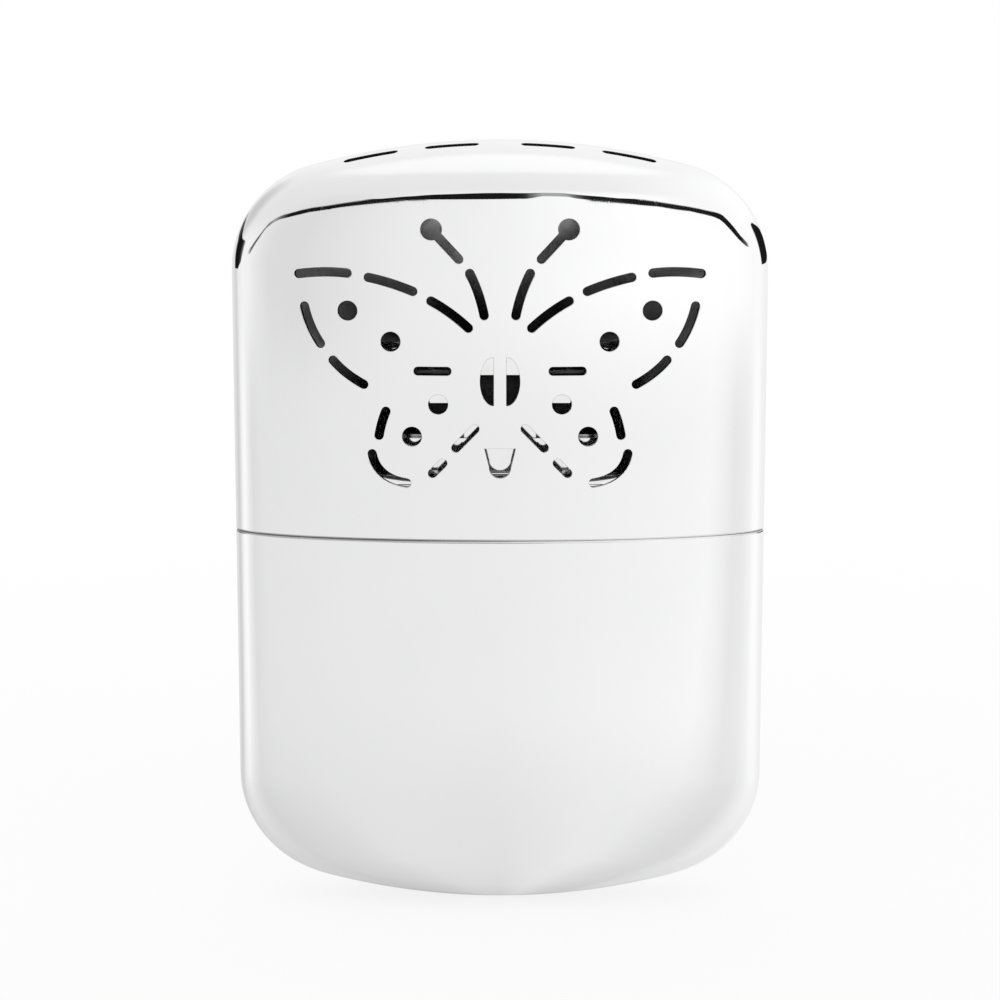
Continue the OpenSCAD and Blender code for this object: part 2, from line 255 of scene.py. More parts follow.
def tail_outline():
    """Tail: a level top, sides that lean in, and a round end."""
    top = np.stack([np.linspace(2, -2, 11), np.full(11, 61.5)], 1)
    left = np.linspace([-2, 61.5], [-1.4, 59.1], 8)[1:-1]
    turn = np.linspace(math.pi, 2 * math.pi, 19)
    end = np.stack([1.4 * np.cos(turn), 59.1 + 1.4 * np.sin(turn)], 1)
    right = np.linspace([1.4, 59.1], [2, 61.5], 8)[1:-1]
    return np.concatenate([top, left, end, right])


VENT, DOT, TIP, TOP_SLOT = 1.15, 1.25, 1.35, 1.25
half_pattern = [
    tip_outline((8.65, 89.3), TIP, (5.2, 85.6), VENT),
    slot_outline([(3.8, 83.8), (2.75, 81.3), (2.0, 78.5)], VENT),
    slot_outline([(25.5, 83.5), (22.3, 83.8), (19.3, 83.7)], VENT),
    slot_outline([(16.6, 83.2), (13.8, 82.5), (11.0, 81.5)], VENT),
    slot_outline([(8.7, 80.3), (6.3, 78.8), (4.0, 76.9)], VENT),
    slot_outline([(24.8, 79.4), (24.0, 76.9), (22.8, 74.7)], VENT),
    slot_outline([(21.2, 72.6), (19.5, 71.0), (17.3, 69.6)], VENT),
    slot_outline([(10.4, 71.4), (6.7, 71.4)], VENT * 0.95),
    round_outline(19.3, 78.95, DOT),
    round_outline(13.85, 75.1, DOT),
    slot_outline([(14.5, 66.2), (15.0, 64.8), (15.4, 63.1)], VENT),
    slot_outline([(16.3, 60.7), (14.9, 58.2), (11.9, 57.0)], VENT),
    slot_outline([(3.2, 64.05), (5.6, 61.6)], VENT),
    slot_outline([(7.3, 59.6), (8.6, 58.3)], VENT),
    round_outline(7.85, 67.15, DOT),
    round_outline(11.2, 63.0, DOT),
    body_outline(0.8, 70.1, 1.74, 3.1),
]
front_vents = half_pattern + [(o * [-1, 1])[::-1] for o in half_pattern] + [tail_outline()]
top_vents = [
    slot_outline([(x - 2.8, y), (x + 2.8, y)], TOP_SLOT)
    for x in (-16.4, -6.1, 6.1, 16.4)
    for y in (-2.75, 2.75)
]
print(len(front_vents), "front vents,", len(top_vents), "top slots")

# %% [markdown]
# ## Punching the vents
# A vent is placed on the form by finding which t and w lie under each point of its outline. The fine
# grid of the form is thinned around the vents, and one triangulation joins the grid to the outlines.


# %% Placing outlines on the form
def from_front(outline):
    """t and w of points seen from the front: s is the distance below the arch, sin t = x / a."""
    s = HEIGHT - outline[:, 1]
    a, _ = half_sizes(s)
    return np.arcsin(np.clip(outline[:, 0] / a, -1, 1)), np.sqrt(s)


def from_above(outline):
    """t and w of points seen from above: s is halved in on until (x/a)^2 + (y/b)^2 is one."""
    x, y = outline[:, 0], outline[:, 1]
    low, high = np.full(len(x), 1e-6), np.full(len(x), DOME + 4)
    for _ in range(50):
        s = (low + high) / 2
        a, b = half_sizes(s)
        outside = (x / a) ** 2 + (y / b) ** 2 > 1
        low, high = np.where(outside, s, low), np.where(outside, high, s)
    a, b = half_sizes(s)
    return np.arctan2(x / a, -y / b), np.sqrt(s)


def grown(outline, by):
    """The outline moved out by a distance along its own normals."""
    along = np.roll(outline, -1, 0) - np.roll(outline, 1, 0)
    along /= np.linalg.norm(along, axis=1, keepdims=True)
    area = np.sum(outline[:, 0] * np.roll(outline[:, 1], -1) - outline[:, 1] * np.roll(outline[:, 0], -1))
    return outline + np.sign(area) * by * np.stack([along[:, 1], -along[:, 0]], 1)


def inside(points, outline):
    """True for each point inside the outline: an odd number of edges lies to its right."""
    x, y = points[:, 0][:, None], points[:, 1][:, None]
    x1, y1 = outline[:, 0], outline[:, 1]
    x2, y2 = np.roll(x1, -1), np.roll(y1, -1)
    spans = (y1 > y) != (y2 > y)
    cut = x1 + (y - y1) * (x2 - x1) / np.where(y2 == y1, 1e-12, y2 - y1)
    return (spans & (x < cut)).sum(1) % 2 == 1


# %% [markdown]
# ## The drawn shells
# One function makes both shells. The tank has no vents, so its grid is used as it is. Each vent gets a
# rounded edge and a wall. The last rows turn in at the mouth with a small radius: the two eased edges make
# the dark line where the shells meet.


# %% Drawn shell
# Radius of the punched edges, and the angles at which its rings lie
EDGE, EDGE_STEPS = 0.09, np.radians([22.5, 45, 67.5, 90])
# The mouth is eased over this angle
LAST_EASE, EASE_STEPS = math.radians(60), np.radians([12, 24, 36, 48, 60])
# Room between a punched edge and the grid, and how far down, in w, a top slot can reach
ROOM, TOP_REACH = 0.3, 3.2
# These bring a step of t and a step of w to about one length for the triangulation
T_SCALE, W_SCALE = 20, 14


def open_grid(flat, same, vents):
    """Leaves out the grid points at the vents and joins the rest to the outlines in one triangulation."""
    skin = form_points(flat[:, 0], flat[:, 1])
    front_view = np.stack([skin[:, 0], HEIGHT - skin[:, 2]], 1)
    keep, rings = np.ones(len(flat), bool), []
    for place, outline in vents:
        room = grown(outline, EDGE + ROOM)
        if place is from_front:
            near = inside(front_view, room) & (skin[:, 1] < 0)
        else:
            near = inside(skin[:, :2], room) & (flat[:, 1] < TOP_REACH)
        keep &= ~near
        rings.append(np.stack(place(grown(outline, EDGE)), 1))
    used = np.flatnonzero(keep)
    edges, at = [], len(used)
    for ring in rings:
        n = len(ring)
        edges += [(at + i, at + (i + 1) % n) for i in range(n)]
        at += n
    every = np.concatenate([flat[used]] + rings)
    result = delaunay_2d_cdt([Vector((p[0] * T_SCALE, p[1] * W_SCALE)) for p in every], edges, [], 0, 1e-9)
    origin = np.array([o[0] for o in result[3]])
    tris = origin[np.array(result[2])]
    middle = every[tris].mean(1)
    hollow = np.zeros(len(tris), bool)
    for ring in rings:
        hollow |= inside(middle, ring)
    names = np.concatenate([same[used], len(flat) + np.arange(sum(map(len, rings)))])
    return np.concatenate([flat] + rings), names[tris[~hollow]], rings


def vent_edge(sheet, place, outline, outer_ring, inner_ring, ring_normals):
    """Rounded edge of one vent, then its wall through the sheet."""
    away = form_points(*place(grown(outline, EDGE + 0.05))) - form_points(*place(grown(outline, EDGE)))
    away /= np.linalg.norm(away, axis=1, keepdims=True)
    last, last_n = outer_ring, ring_normals
    for angle in EDGE_STEPS:
        where = place(grown(outline, EDGE * (1 - math.sin(angle))))
        skin, up = form_points(*where), form_normals(*where)
        turned = math.cos(angle) * up - math.sin(angle) * away
        new = sheet.add_points(skin - EDGE * (1 - math.cos(angle)) * up)
        sheet.add_strip(last, new, last_n, turned)
        last, last_n = new, turned
    wall = sheet.add_points(skin - SHEET * up)
    sheet.add_strip(last, wall, last_n, last_n, sheet.CUT)
    sheet.add_strip(wall, inner_ring, -up, -up, sheet.INSIDE)


def mouth_edge(sheet, length, ring_t, low, low_n, inner_ring):
    """Eased edge at the mouth, then the flat rim between outside and inside."""
    side = low_n * [1, 1, 0]
    for angle in EASE_STEPS:
        base = form_points(ring_t, np.full_like(ring_t, math.sqrt(length - 2)))
        ring = base - EASE * (1 - math.cos(angle)) * side
        ring[:, 2] = length - EASE * (math.sin(LAST_EASE) - math.sin(angle))
        turned = math.cos(angle) * side + math.sin(angle) * np.array([0, 0, 1.0])
        new = sheet.add_points(ring)
        sheet.add_strip(low, new, low_n, turned)
        low, low_n = new, turned
    rim = base - SHEET * side
    rim[:, 2] = length
    rim_numbers = sheet.add_points(rim)
    up = np.tile([0, 0, 1.0], (len(ring_t), 1))
    sheet.add_strip(low, rim_numbers, up, up, sheet.INSIDE)
    sheet.add_strip(rim_numbers, inner_ring, -side, -side, sheet.INSIDE)


def drawn_shell(name, length, columns, rows, vents=(), turn_over=False):
    """Closed sheet between the form and the form moved in by SHEET, from the arch to its mouth."""
    t = np.linspace(-math.pi, math.pi, columns + 1)
    w = np.linspace(0, math.sqrt(length - EASE * math.sin(LAST_EASE)), rows + 1)
    tt, ww = np.meshgrid(t, w)
    flat = np.stack([tt.ravel(), ww.ravel()], 1)
    number = np.arange(flat.shape[0]).reshape(tt.shape)
    number[:, -1] = number[:, 0]
    number[0, :] = number[0, 0]
    rings = []
    if vents:
        flat, tris, rings = open_grid(flat, number.ravel(), vents)
    else:
        q = [number[:-1, :-1], number[:-1, 1:], number[1:, 1:], number[1:, :-1]]
        q = [c.ravel() for c in q]
        tris = np.concatenate([np.stack([q[0], q[1], q[2]], 1), np.stack([q[0], q[2], q[3]], 1)])
    sheet = Sheet()
    points, normals = form_points(flat[:, 0], flat[:, 1]), form_normals(flat[:, 0], flat[:, 1])
    outer = sheet.add_points(points)
    inner = sheet.add_points(points - SHEET * normals)
    sheet.add_tris(outer[tris], normals[tris])
    sheet.add_tris(inner[tris], -normals[tris], sheet.INSIDE)
    at = number.size
    for (place, outline), ring in zip(vents, rings):
        here = np.arange(at, at + len(ring))
        at += len(ring)
        vent_edge(sheet, place, outline, outer[here], inner[here], normals[here])
    last_row = number[-1, :-1]
    mouth_edge(sheet, length, t[:-1], outer[last_row], normals[last_row], inner[last_row])
    return sheet.build(name, turn_over)


all_vents = [(from_front, o) for o in front_vents] + [(from_above, o) for o in top_vents]
lid = drawn_shell("lid", HEIGHT - JOINT - JOINT_GAP, 240, 110, all_vents, turn_over=True)
tank = drawn_shell("tank", JOINT - JOINT_GAP, 240, 100)
stand_in(lid, "lid_shell", "lid")
stand_in(tank, "tank_shell", "tank")

# %% [markdown]
# ## The shoulder
# The shoulder is pressed plate, soldered into the tank, and the lid slides over it. It is bright as well,
# and the lowest vents look on its rounded edge. Its profile is a list of rings, each with an inset, a
# height and a slope, and a flat plate joins the last ring to the hole for the neck.

# %% Shoulder
# Clearance under the lid, radius of the upper edge, lower end and plate; size of the hole for the neck
SEAT_GAP, SEAT_ROUND, SEAT_LOW, PLATE = 0.1, 1.5, 44.6, 58.0
NECK_STRAIGHT, NECK_RADIUS = 21, 4.5


def oval_ring(inset, z, slope, turn):
    """Ring on the oval section moved in by an inset: x = a sin t, y = -b cos t at the height z. The normal
    is the oval's own level normal times cos(slope), plus upwards times sin(slope)."""
    a, b = WIDTH / 2 - inset, DEPTH / 2 - inset
    points = np.stack([a * np.sin(turn), -b * np.cos(turn), np.full_like(turn, z)], 1)
    level = np.stack([np.sin(turn) / a, -np.cos(turn) / b, 0 * turn], 1)
    level /= np.linalg.norm(level, axis=1, keepdims=True)
    return points, math.cos(slope) * level + math.sin(slope) * np.array([0, 0, 1.0])


def neck_hole(z, straight, radius, turn):
    """Ring of the hole: x = (straight / 2 + radius) sin t, y = the radius beside the straight part and
    sqrt(radius^2 - (|x| - straight / 2)^2) on the round ends. The normals point into the hole."""
    x = (straight / 2 + radius) * np.sin(turn)
    past = np.maximum(np.abs(x) - straight / 2, 0)
    y = -np.sign(np.cos(turn)) * np.sqrt(np.maximum(radius**2 - past**2, 0))
    middle = np.stack([np.sign(x) * np.minimum(np.abs(x), straight / 2), 0 * x, 0 * x], 1)
    points = np.stack([x, y, 0 * x], 1)
    inward = (middle - points) / radius
    points[:, 2] = z
    return points, inward


def make_shoulder():
    """Outer profile up to the plate, the plate with its hole, and the same profile one sheet further in."""
    turn = np.linspace(-math.pi, math.pi, 240, endpoint=False)
    quarter = np.linspace(0, math.pi / 2, 7)

    def rounded_edge(inset, top, radius):
        return [(inset + radius * (1 - math.cos(q)), top - radius * (1 - math.sin(q)), q) for q in quarter]

    seat = SHEET + SEAT_GAP
    outer = [(SHEET, SEAT_LOW, 0), (SHEET, JOINT, 0), (seat, JOINT, 0)] + rounded_edge(seat, PLATE, SEAT_ROUND)
    seat = 2 * SHEET + SEAT_GAP
    inner = [(seat, SEAT_LOW, 0)] + rounded_edge(seat, PLATE - SHEET, SEAT_ROUND - SHEET)
    sheet = Sheet()
    last = []
    for profile, sign in ((outer, 1), (inner, -1)):
        rings = []
        for inset, z, slope in profile:
            points, normals = oval_ring(inset, z, slope, turn)
            rings.append((sheet.add_points(points), sign * normals))
        for (a, an), (b, bn) in zip(rings, rings[1:]):
            sheet.add_strip(a, b, an, bn)
        last.append(rings)
    up = np.tile([0, 0, 1.0], (len(turn), 1))
    holes = []
    for rings, z, sign in ((last[0], PLATE, 1), (last[1], PLATE - SHEET, -1)):
        points, inward = neck_hole(z, NECK_STRAIGHT, NECK_RADIUS, turn)
        hole = sheet.add_points(points)
        sheet.add_strip(rings[-1][0], hole, sign * up, sign * up)
        holes.append((hole, inward))
    sheet.add_strip(holes[0][0], holes[1][0], holes[0][1], holes[1][1])
    sheet.add_strip(last[0][0][0], last[1][0][0], -up, -up)
    return sheet.build("shoulder")


shoulder = make_shoulder()
stand_in(shoulder, "shoulder_cap", "tank")

# %% [markdown]
# ## Small metal parts
# The CAD solids of neck and burner have the right shape. Their meshes are loose triangles with razor
# sharp edges, so a copy of each is merged, and a fine bevel gives its edges the thin bright line that
# pressed metal has.


# %% Refined copies of the CAD solids
def refined(node, body, bevel=0.06, sharp=32):
    """Copy of a CAD node with merged points, smooth faces and slightly rounded edges."""
    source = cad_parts[node]
    bm = bmesh.new()
    bm.from_mesh(source.data)
    bm.transform(source.matrix_world)
    bmesh.ops.remove_doubles(bm, verts=bm.verts, dist=0.000002)
    bmesh.ops.dissolve_limit(bm, angle_limit=math.radians(0.5), verts=bm.verts, edges=bm.edges)
    for face in bm.faces:
        face.smooth = True
    for edge in bm.edges:
        edge.smooth = len(edge.link_faces) == 2 and edge.calc_face_angle(0) < math.radians(sharp)
    mesh = bpy.data.meshes.new(node + "_fine")
    bm.to_mesh(mesh)
    bm.free()
    piece = new_object(node + "_fine", mesh)
    if bevel:
        edges = piece.modifiers.new("eased edges", "BEVEL")
        edges.width = bevel * MM
        edges.segments = 2
        edges.limit_method = "ANGLE"
        edges.angle_limit = math.radians(sharp)
        edges.harden_normals = True
        edges.use_clamp_overlap = True
    stand_in(piece, node, body)
    print(piece.name, len(mesh.polygons), "faces")
    return piece


neck = refined("neck_ring", "tank")
burner_base = refined("burner_base", "burner")
burner_cover = refined("burner_cover", "burner")
screen = refined("burner_screen", "burner", bevel=0.04)
retainer = refined("mat_retainer", "burner", bevel=0.04)
springs = [refined(n, "burner", bevel=0.03) for n in ("grip_spring_front", "grip_spring_rear")]
rivets = [refined(n, "burner", bevel=0) for n in ("cover_rivet_left", "cover_rivet_right")]

# %% [markdown]
# ## Wadding and catalyst mat
# Both are loose fibres pressed into shape, so no face is flat and no edge is sharp. Each is a rounded
# block with long soft waves and small tufts, worked out as one surface that stays inside its CAD solid.


# %% Soft filling
def round_to(wave, power):
    """A sine or cosine raised to a power with its sign kept: below one it squares the circle off."""
    return np.sign(wave) * np.abs(wave) ** power


def soft_noise(p, scale, seed):
    """Smooth unevenness from the sum of six sine waves in fixed, seeded directions."""
    rng = np.random.default_rng(seed)
    total = 0
    for _ in range(6):
        direction = rng.normal(size=3)
        direction /= np.linalg.norm(direction)
        total = total + np.sin(p @ direction * scale * rng.uniform(0.7, 1.4) + rng.uniform(0, 6.28))
    return total / 6


def soft_block(name, low, high, ends, edge, depth, seed, columns=160, rows=90):
    """Rounded block: each section is a superellipse, and the rows run over a rounded bottom and top.

    x = X cx(u) e(v), y = Y cy(u) e(v), z between low and high, where e(v) falls to nothing over the
    edge radius at both ends, and soft_noise moves every point inwards by up to depth.
    """
    low, high = np.array(low, float), np.array(high, float)
    half, mid = (high - low) / 2, (high + low) / 2
    u = np.linspace(0, 2 * math.pi, columns, endpoint=False)
    v = np.linspace(-math.pi / 2, math.pi / 2, rows)
    uu, vv = np.meshgrid(u, v)
    across = round_to(np.cos(vv), edge)
    x = half[0] * round_to(np.cos(uu), ends[0]) * across
    y = half[1] * round_to(np.sin(uu), ends[1]) * across
    z = half[2] * round_to(np.sin(vv), edge)
    p = np.stack([x, y, z], -1)
    flat = p.reshape(-1, 3)
    size = np.linalg.norm(flat, axis=1, keepdims=True)
    dent = 0.5 + 0.25 * soft_noise(flat, 0.9, seed) + 0.25 * soft_noise(flat, 3.5, seed + 1)
    flat = flat * (1 - np.clip(dent, 0, 1)[:, None] * depth / np.maximum(size, 1.0))
    return soft_mesh(name, flat + mid, rows, columns)


def soft_mesh(name, points, rows, columns):
    """Closed mesh over rows of points; the first and the last row close up in one point each."""
    p = points.reshape(rows, columns, 3).copy()
    p[0], p[-1] = p[0].mean(0), p[-1].mean(0)
    number = np.arange(rows * columns).reshape(rows, columns)
    number[0], number[-1] = number[0, 0], number[-1, 0]
    next_u = np.roll(number, -1, 1)
    q = [number[:-1].ravel(), next_u[:-1].ravel(), next_u[1:].ravel(), number[1:].ravel()]
    quads = np.stack(q, 1).tolist()
    mesh = bpy.data.meshes.new(name)
    mesh.from_pydata((p.reshape(-1, 3) * MM).tolist(), [], [list(dict.fromkeys(f)) for f in quads])
    bm = bmesh.new()
    bm.from_mesh(mesh)
    loose = [vert for vert in bm.verts if not vert.link_faces]
    bmesh.ops.delete(bm, geom=loose, context="VERTS")
    bmesh.ops.recalc_face_normals(bm, faces=bm.faces)
    bm.to_mesh(mesh)
    bm.free()
    mesh.polygons.foreach_set("use_smooth", np.ones(len(mesh.polygons), bool))
    print(name, len(mesh.polygons), "faces")
    return new_object(name, mesh)


def inside_box(node, gap=0.1):
    """Corners of a CAD node's box in millimetres, moved in by a gap."""
    low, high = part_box(node)
    return np.array(low) / MM + gap, np.array(high) / MM - gap


def side_pack(name, side, top, seed, columns=150, rows=110):
    """Pack that fills one half of the tank: a rounded block whose depth follows the oval section.

    At each height z the section runs from the middle of the tank to its wall: x by a rounded cosine,
    y by a rounded sine times b sqrt(1 - (x / a)^2), with a and b moved in from the wall.
    """
    u = np.linspace(0, 2 * math.pi, columns, endpoint=False)
    v = np.linspace(-math.pi / 2, math.pi / 2, rows)
    uu, vv = np.meshgrid(u, v)
    # The lowest height, the distance from the middle of the tank and the distance from the outside
    low, first, wall = 1.1, 0.35, 1.05
    z = (low + top) / 2 + (top - low) / 2 * round_to(np.sin(vv), 0.7)
    a, b = half_sizes(z, wall)
    across = round_to(np.cos(vv), 0.35)
    x = (first + a) / 2 + (a - first) / 2 * round_to(np.cos(uu), 0.6) * across
    y = b * np.sqrt(np.maximum(1 - (x / np.maximum(a, 0.1)) ** 2, 0)) * round_to(np.sin(uu), 0.6) * across
    p = np.stack([x, y, z], -1)
    flat = p.reshape(-1, 3)
    middle = np.array([a.max() / 2, 0, (low + top) / 2])
    away = flat - middle
    dent = 0.5 + 0.25 * soft_noise(flat, 0.5, seed) + 0.25 * soft_noise(flat, 2.0, seed + 1)
    flat = flat - away * (np.clip(dent, 0, 1) * 0.05)[:, None]
    flat[:, 0] *= side
    return soft_mesh(name, flat, rows, columns)


mat = soft_block("catalyst_fibre_mat", *inside_box("catalyst_mat"), (0.35, 0.9), 0.35, 0.5, 3)
plug = soft_block("wadding_plug", *inside_box("cotton_mouth"), (0.35, 0.9), 0.4, 0.7, 8)
pack_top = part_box("cotton_left")[1][2] / MM - 0.1
packs = [side_pack("wadding_left", -1, pack_top, 12), side_pack("wadding_right", 1, pack_top, 15)]
for piece, node, body, slot, fill in (
    (mat, "catalyst_mat", "burner", "catalyst_fibre", 0.7),
    (plug, "cotton_mouth", "tank", "cotton", 0.7),
    (packs[0], "cotton_left", "tank", "cotton", 0.8),
    (packs[1], "cotton_right", "tank", "cotton", 0.8),
):
    stand_in(piece, node, body)

# %% [markdown]
# ## Finishes
# The outside is bright plate: almost a mirror, with a faint haze from handling and hair-fine rubbing
# marks, a little painted shade at the joint, and soot with painted shade inside the lid. Four shader groups make
# these effects once, and each material uses them with its own strength. The helpers below write a shader tree line
# by line.


# %% Node helpers
def add(tree, kind, **settings):
    """Adds a node. in_NAME or in_NUMBER sets an input, or links it to a socket; the rest are properties."""
    node = tree.nodes.new(kind)
    for key, value in settings.items():
        if not key.startswith("in_"):
            setattr(node, key, value)
            continue
        key = key[3:]
        socket = node.inputs[int(key) if key.isdigit() else key.replace("_", " ")]
        if isinstance(value, bpy.types.NodeSocket):
            tree.links.new(value, socket)
        else:
            socket.default_value = value
    return node


def group_with(name, inputs, outputs):
    """Empty shader group. An input with a number is a float with that default, one with None a vector."""
    tree = bpy.data.node_groups.new(name, "ShaderNodeTree")
    for socket, value in inputs.items():
        kind = "NodeSocketVector" if value is None else "NodeSocketFloat"
        made = tree.interface.new_socket(socket, in_out="INPUT", socket_type=kind)
        if value is not None:
            made.default_value = value
    for socket in outputs:
        tree.interface.new_socket(socket, in_out="OUTPUT", socket_type="NodeSocketFloat")
    return tree, tree.nodes.new("NodeGroupInput"), tree.nodes.new("NodeGroupOutput")


def new_material(name):
    """Material with its shader tree and the shader in it."""
    material = bpy.data.materials.new(name)
    material.use_nodes = True
    return material, material.node_tree, material.node_tree.nodes["Principled BSDF"]


def math_node(tree, operation, a, b=None, c=None):
    """One sum on sockets or numbers."""
    node = add(tree, "ShaderNodeMath", operation=operation)
    for at, value in enumerate((a, b, c)):
        if isinstance(value, (int, float)):
            node.inputs[at].default_value = value
        elif value is not None:
            tree.links.new(value, node.inputs[at])
    return node.outputs[0]


def smooth_step(tree, value, start, full, low=0.0, high=1.0):
    """Smooth step of a value: low up to start, high from full on."""
    settings = dict(interpolation_type="SMOOTHSTEP", in_0=value, in_1=start, in_2=full, in_3=low, in_4=high)
    return add(tree, "ShaderNodeMapRange", **settings).outputs[0]


def blend(tree, share, a, b):
    """a where the share is nothing, b where it is one."""
    return add(tree, "ShaderNodeMix", data_type="FLOAT", in_0=share, in_2=a, in_3=b).outputs[0]


def vector_node(tree, operation, a, b=(0, 0, 0)):
    """One sum of a vector socket and a fixed vector."""
    return add(tree, "ShaderNodeVectorMath", operation=operation, in_0=a, in_1=b)


# %% [markdown]
# ## Handling haze
# Fingers leave soft dull patches on bright plate, and no two places are dulled alike.


# %% Handling haze
def make_haze():
    """Soft patches where fingers have dulled the plate: two noises, one large and one fine, multiplied."""
    tree, given, out = group_with("handling_haze", {"Vector": None, "Size": 60.0, "Amount": 1.0}, ["Haze"])
    place, size = given.outputs["Vector"], given.outputs["Size"]
    large = add(tree, "ShaderNodeTexNoise", in_Vector=place, in_Scale=size, in_Detail=3.0, in_Roughness=0.6)
    finer = math_node(tree, "MULTIPLY", size, 9.0)
    fine = add(tree, "ShaderNodeTexNoise", in_Vector=place, in_Scale=finer, in_Detail=5.0, in_Roughness=0.7)
    fine.inputs["Distortion"].default_value = 0.6
    patch = add(tree, "ShaderNodeMapRange", in_0=large.outputs["Fac"], in_1=0.42, in_2=0.68)
    both = math_node(tree, "MULTIPLY", patch.outputs[0], fine.outputs["Fac"])
    scaled = add(tree, "ShaderNodeMath", operation="MULTIPLY", use_clamp=True, in_0=both)
    tree.links.new(given.outputs["Amount"], scaled.inputs[1])
    tree.links.new(scaled.outputs[0], out.inputs["Haze"])
    return tree


# %% [markdown]
# ## Rubbing marks
# A pocket and a cloth leave hair-fine lines that hardly dull the plate. They run in slowly turning
# directions.


# %% Rubbing marks
def make_rubbing():
    """Hair-fine lines in slowly turning directions: a noise stretched thirty times along one axis."""
    tree, given, out = group_with("rubbing_marks", {"Vector": None, "Fineness": 900.0}, ["Marks"])
    warp = add(tree, "ShaderNodeTexNoise", in_Scale=25.0, in_Detail=1.0, in_Vector=given.outputs["Vector"])
    bent = add(tree, "ShaderNodeVectorMath", operation="MULTIPLY_ADD", in_0=warp.outputs["Color"])
    bent.inputs[1].default_value = (0.02, 0.02, 0.02)
    tree.links.new(given.outputs["Vector"], bent.inputs[2])
    stretch = add(tree, "ShaderNodeMapping", in_Vector=bent.outputs[0])
    stretch.inputs["Rotation"].default_value = (0.3, 0.5, 0.35)
    stretch.inputs["Scale"].default_value = (1.0, 0.03, 0.6)
    lines = add(tree, "ShaderNodeTexNoise", in_Detail=2.0, in_Roughness=0.5, in_Vector=stretch.outputs[0])
    tree.links.new(given.outputs["Fineness"], lines.inputs["Scale"])
    thin = add(tree, "ShaderNodeMapRange", in_1=0.62, in_2=0.74, in_0=lines.outputs["Fac"])
    tree.links.new(thin.outputs[0], out.inputs["Marks"])
    return tree


# %% [markdown]
# ## Painted joint shade and soot
# Painted shade darkens the joint line, and soot with painted shade darkens the inside of the lid. Both are darkest
# at one
# place and fade out: the joint shade with the height above or below the joint, the soot with the distance from
# the burner.


# %% Painted joint shade and soot
def make_joint_shade():
    """Painted shade at the joint gap: full at the joint's height, gone at the reach above and below it. It is
    weaker to the right by a share, less so at the far right end, and uneven along the joint."""
    sockets = {"Vector": None, "Reach": 0.0006, "Amount": 1.0, "Wiped": 0.0}
    tree, given, out = group_with("joint_grime", sockets, ["Grime"])
    parts = add(tree, "ShaderNodeSeparateXYZ", in_0=given.outputs["Vector"])
    # Painted shade: a dark colour at the joint's height stands in for the shade in the gap between the shells.
    level = math_node(tree, "SUBTRACT", parts.outputs[2], JOINT * MM)
    share = math_node(tree, "DIVIDE", math_node(tree, "ABSOLUTE", level), given.outputs["Reach"])
    fade = smooth_step(tree, share, 0.5, 1.0, 1.0, 0.0)
    to_right = smooth_step(tree, parts.outputs[0], -0.018, 0.018)
    corner = smooth_step(tree, parts.outputs[0], 0.026, 0.034)
    shade_eased = math_node(tree, "MULTIPLY_ADD", corner, -0.6, to_right)
    shade_eased = math_node(tree, "MULTIPLY", shade_eased, given.outputs["Wiped"])
    uneven = add(tree, "ShaderNodeTexNoise", in_Scale=120.0, in_Detail=2.0, in_Vector=given.outputs["Vector"])
    left = math_node(tree, "SUBTRACT", 1.0, shade_eased)
    left = math_node(tree, "MULTIPLY", left, math_node(tree, "MULTIPLY_ADD", uneven.outputs["Fac"], 0.6, 0.7))
    left = math_node(tree, "MULTIPLY", left, given.outputs["Amount"])
    shade_overlay = math_node(tree, "MINIMUM", math_node(tree, "MULTIPLY", left, fade), 1.0)
    tree.links.new(shade_overlay, out.inputs["Grime"])
    return tree


def make_soot_and_shade():
    """Soot with painted shade round the burner: full near its middle, thin far out, with the edge broken up by a
    noise.
    """
    tree, given, out = group_with("burner_soot", {"Vector": None, "Near": 0.009, "Far": 0.019}, ["Soot"])
    # Soot and painted shade: a dark patch round the burner's middle, standing in for soot and for the shade inside
    # the lid.
    away = vector_node(tree, "SUBTRACT", given.outputs["Vector"], (0, 0, 0.07))
    squeezed = vector_node(tree, "MULTIPLY", away.outputs[0], (0.55, 0, 1))
    size = vector_node(tree, "LENGTH", squeezed.outputs[0])
    uneven = add(tree, "ShaderNodeTexNoise", in_Scale=160.0, in_Detail=3.0, in_Vector=given.outputs["Vector"])
    moved = math_node(tree, "MULTIPLY_ADD", uneven.outputs["Fac"], 0.014, size.outputs["Value"])
    moved = math_node(tree, "SUBTRACT", moved, 0.007)
    fade = smooth_step(tree, moved, given.outputs["Near"], given.outputs["Far"], 1.0, 0.0)
    tree.links.new(fade, out.inputs["Soot"])
    return tree


haze_group, rubbing_group, joint_shade_group, soot_and_shade_group = make_haze(), make_rubbing(), make_joint_shade(), make_soot_and_shade()
print("shader groups", [g.name for g in bpy.data.node_groups])
